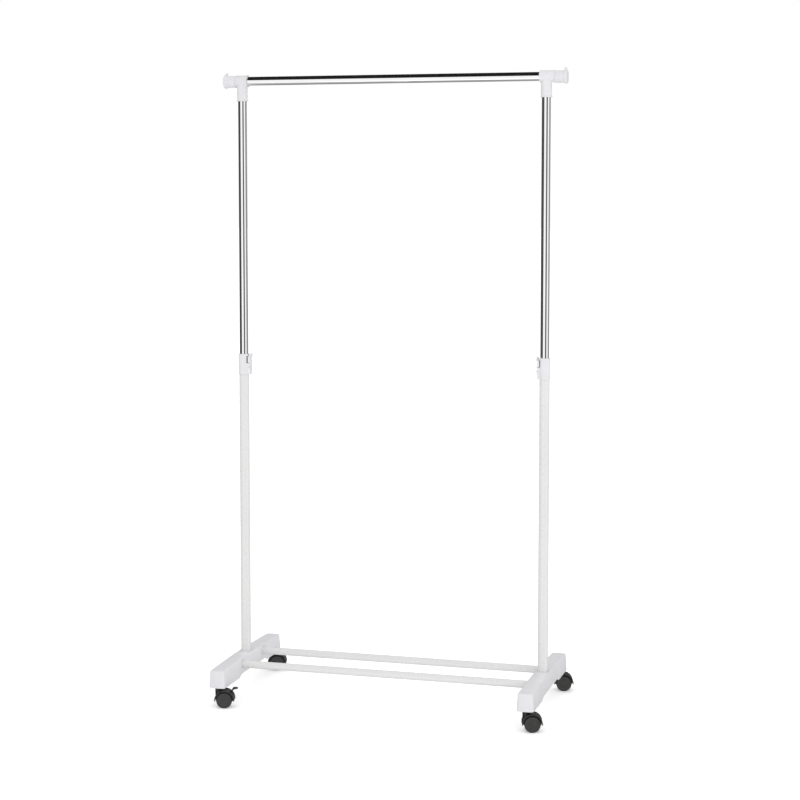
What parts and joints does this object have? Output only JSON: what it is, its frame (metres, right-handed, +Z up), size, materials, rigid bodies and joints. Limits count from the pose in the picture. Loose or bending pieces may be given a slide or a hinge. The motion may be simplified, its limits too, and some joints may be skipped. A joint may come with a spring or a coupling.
{
  "type": "garment rack",
  "caption": "Straight single-rail garment rack, height adjustable on telescoping uprights, with pull-out rail ends, moulded feet and twin-wheel castors.",
  "frame": {"origin": "on the floor, midway between the two uprights", "axes": "+X along the hanging rail, +Y across the rack from front to back, +Z up"},
  "size_m": [0.9015, 0.447, 1.6169],
  "materials": {
    "powder_white": "white powder coat, satin",
    "white_plastic": "moulded, fine satin, slightly cool white",
    "chrome": "bright chrome plate",
    "zinc_steel": "zinc plated",
    "black_plastic": "moulded, satin black",
    "wheel_grey": "moulded, dark grey",
    "nylon": "natural nylon",
    "grip_rubber": "moulded rubber"
  },
  "bodies": {
    "base": {"crossbar_front": "powder_white", "crossbar_back": "powder_white", "leg_left": "white_plastic", "crossbar_screw_front_left": "zinc_steel", "crossbar_screw_back_left": "zinc_steel", "post_left": "powder_white", "post_plug_left": "nylon", "post_bolt_left": "zinc_steel", "collar_left": "white_plastic", "lever_pin_left": "zinc_steel", "leg_right": "white_plastic", "crossbar_screw_front_right": "zinc_steel", "crossbar_screw_back_right": "zinc_steel", "post_right": "powder_white", "post_plug_right": "nylon", "post_bolt_right": "zinc_steel", "collar_right": "white_plastic", "lever_pin_right": "zinc_steel", "castor_front_left_stem": "zinc_steel", "castor_front_right_stem": "zinc_steel", "castor_back_left_stem": "zinc_steel", "castor_back_right_stem": "zinc_steel"},
    "upper_frame": {"hanging_rail": "chrome", "mast_left": "chrome", "mast_foot_left": "nylon", "tee_left": "white_plastic", "mast_right": "chrome", "mast_foot_right": "nylon", "tee_right": "white_plastic"},
    "lever_left": {"lock_lever_left": "white_plastic", "lever_spring_left": "zinc_steel", "grip_shoe_left": "grip_rubber"},
    "pull_out_left": {"pull_rod_left": "chrome", "rod_bush_left": "nylon", "end_cap_left": "white_plastic"},
    "lever_right": {"lock_lever_right": "white_plastic", "lever_spring_right": "zinc_steel", "grip_shoe_right": "grip_rubber"},
    "pull_out_right": {"pull_rod_right": "chrome", "rod_bush_right": "nylon", "end_cap_right": "white_plastic"},
    "castor_front_left": {"castor_front_left_hood": "black_plastic", "castor_front_left_axle": "zinc_steel", "brake_pin": "zinc_steel"},
    "castor_front_left_wheel_near": {"castor_front_left_wheel_near": "wheel_grey"},
    "castor_front_left_wheel_far": {"castor_front_left_wheel_far": "wheel_grey"},
    "brake": {"brake_pedal": "black_plastic"},
    "castor_front_right": {"castor_front_right_hood": "black_plastic", "castor_front_right_axle": "zinc_steel"},
    "castor_front_right_wheel_near": {"castor_front_right_wheel_near": "wheel_grey"},
    "castor_front_right_wheel_far": {"castor_front_right_wheel_far": "wheel_grey"},
    "castor_back_left": {"castor_back_left_hood": "black_plastic", "castor_back_left_axle": "zinc_steel"},
    "castor_back_left_wheel_near": {"castor_back_left_wheel_near": "wheel_grey"},
    "castor_back_left_wheel_far": {"castor_back_left_wheel_far": "wheel_grey"},
    "castor_back_right": {"castor_back_right_hood": "black_plastic", "castor_back_right_axle": "zinc_steel"},
    "castor_back_right_wheel_near": {"castor_back_right_wheel_near": "wheel_grey"},
    "castor_back_right_wheel_far": {"castor_back_right_wheel_far": "wheel_grey"}
  },
  "joints": [
    {"name": "height_slide", "type": "slide", "parent": "base", "child": "upper_frame", "axis": [0, 0, 1], "range_m": [-0.64, 0]},
    {"name": "pull_out_left_slide", "type": "slide", "parent": "upper_frame", "child": "pull_out_left", "axis": [-1, 0, 0], "range_m": [0, 0.25]},
    {"name": "pull_out_right_slide", "type": "slide", "parent": "upper_frame", "child": "pull_out_right", "axis": [1, 0, 0], "range_m": [0, 0.25]},
    {"name": "lever_left_press", "type": "hinge", "parent": "base", "child": "lever_left", "pos_m": [-0.383, 0, 0.8545], "axis": [0, -1, 0], "range_deg": [0, 2.8], "stiffness_Nm_per_rad": 0.6, "springref_deg": -5.73},
    {"name": "lever_right_press", "type": "hinge", "parent": "base", "child": "lever_right", "pos_m": [0.383, 0, 0.8625], "axis": [0, 1, 0], "range_deg": [0, 2.8], "stiffness_Nm_per_rad": 0.6, "springref_deg": -5.73},
    {"name": "castor_front_left_swivel", "type": "hinge", "parent": "base", "child": "castor_front_left", "pos_m": [-0.4, -0.2, 0.0445], "axis": [0, 0, 1], "continuous": true},
    {"name": "castor_front_left_wheel_near_spin", "type": "hinge", "parent": "castor_front_left", "child": "castor_front_left_wheel_near", "pos_m": [-0.38243, -0.20761, 0.02], "axis": [-0.2588, 0.9659, 0], "continuous": true},
    {"name": "castor_front_left_wheel_far_spin", "type": "hinge", "parent": "castor_front_left", "child": "castor_front_left_wheel_far", "pos_m": [-0.38859, -0.18462, 0.02], "axis": [-0.2588, 0.9659, 0], "continuous": true},
    {"name": "brake_press", "type": "hinge", "parent": "castor_front_left", "child": "brake", "pos_m": [-0.36909, -0.19172, 0.035], "axis": [-0.2588, 0.9659, 0], "range_deg": [0, 12]},
    {"name": "castor_front_right_swivel", "type": "hinge", "parent": "base", "child": "castor_front_right", "pos_m": [0.4, -0.2, 0.0445], "axis": [0, 0, 1], "continuous": true},
    {"name": "castor_front_right_wheel_near_spin", "type": "hinge", "parent": "castor_front_right", "child": "castor_front_right_wheel_near", "pos_m": [0.41757, -0.20761, 0.02], "axis": [-0.2588, 0.9659, 0], "continuous": true},
    {"name": "castor_front_right_wheel_far_spin", "type": "hinge", "parent": "castor_front_right", "child": "castor_front_right_wheel_far", "pos_m": [0.41141, -0.18462, 0.02], "axis": [-0.2588, 0.9659, 0], "continuous": true},
    {"name": "castor_back_left_swivel", "type": "hinge", "parent": "base", "child": "castor_back_left", "pos_m": [-0.4, 0.2, 0.0445], "axis": [0, 0, 1], "continuous": true},
    {"name": "castor_back_left_wheel_near_spin", "type": "hinge", "parent": "castor_back_left", "child": "castor_back_left_wheel_near", "pos_m": [-0.38243, 0.19239, 0.02], "axis": [-0.2588, 0.9659, 0], "continuous": true},
    {"name": "castor_back_left_wheel_far_spin", "type": "hinge", "parent": "castor_back_left", "child": "castor_back_left_wheel_far", "pos_m": [-0.38859, 0.21538, 0.02], "axis": [-0.2588, 0.9659, 0], "continuous": true},
    {"name": "castor_back_right_swivel", "type": "hinge", "parent": "base", "child": "castor_back_right", "pos_m": [0.4, 0.2, 0.0445], "axis": [0, 0, 1], "continuous": true},
    {"name": "castor_back_right_wheel_near_spin", "type": "hinge", "parent": "castor_back_right", "child": "castor_back_right_wheel_near", "pos_m": [0.41757, 0.19239, 0.02], "axis": [-0.2588, 0.9659, 0], "continuous": true},
    {"name": "castor_back_right_wheel_far_spin", "type": "hinge", "parent": "castor_back_right", "child": "castor_back_right_wheel_far", "pos_m": [0.41141, 0.21538, 0.02], "axis": [-0.2588, 0.9659, 0], "continuous": true}
  ]
}
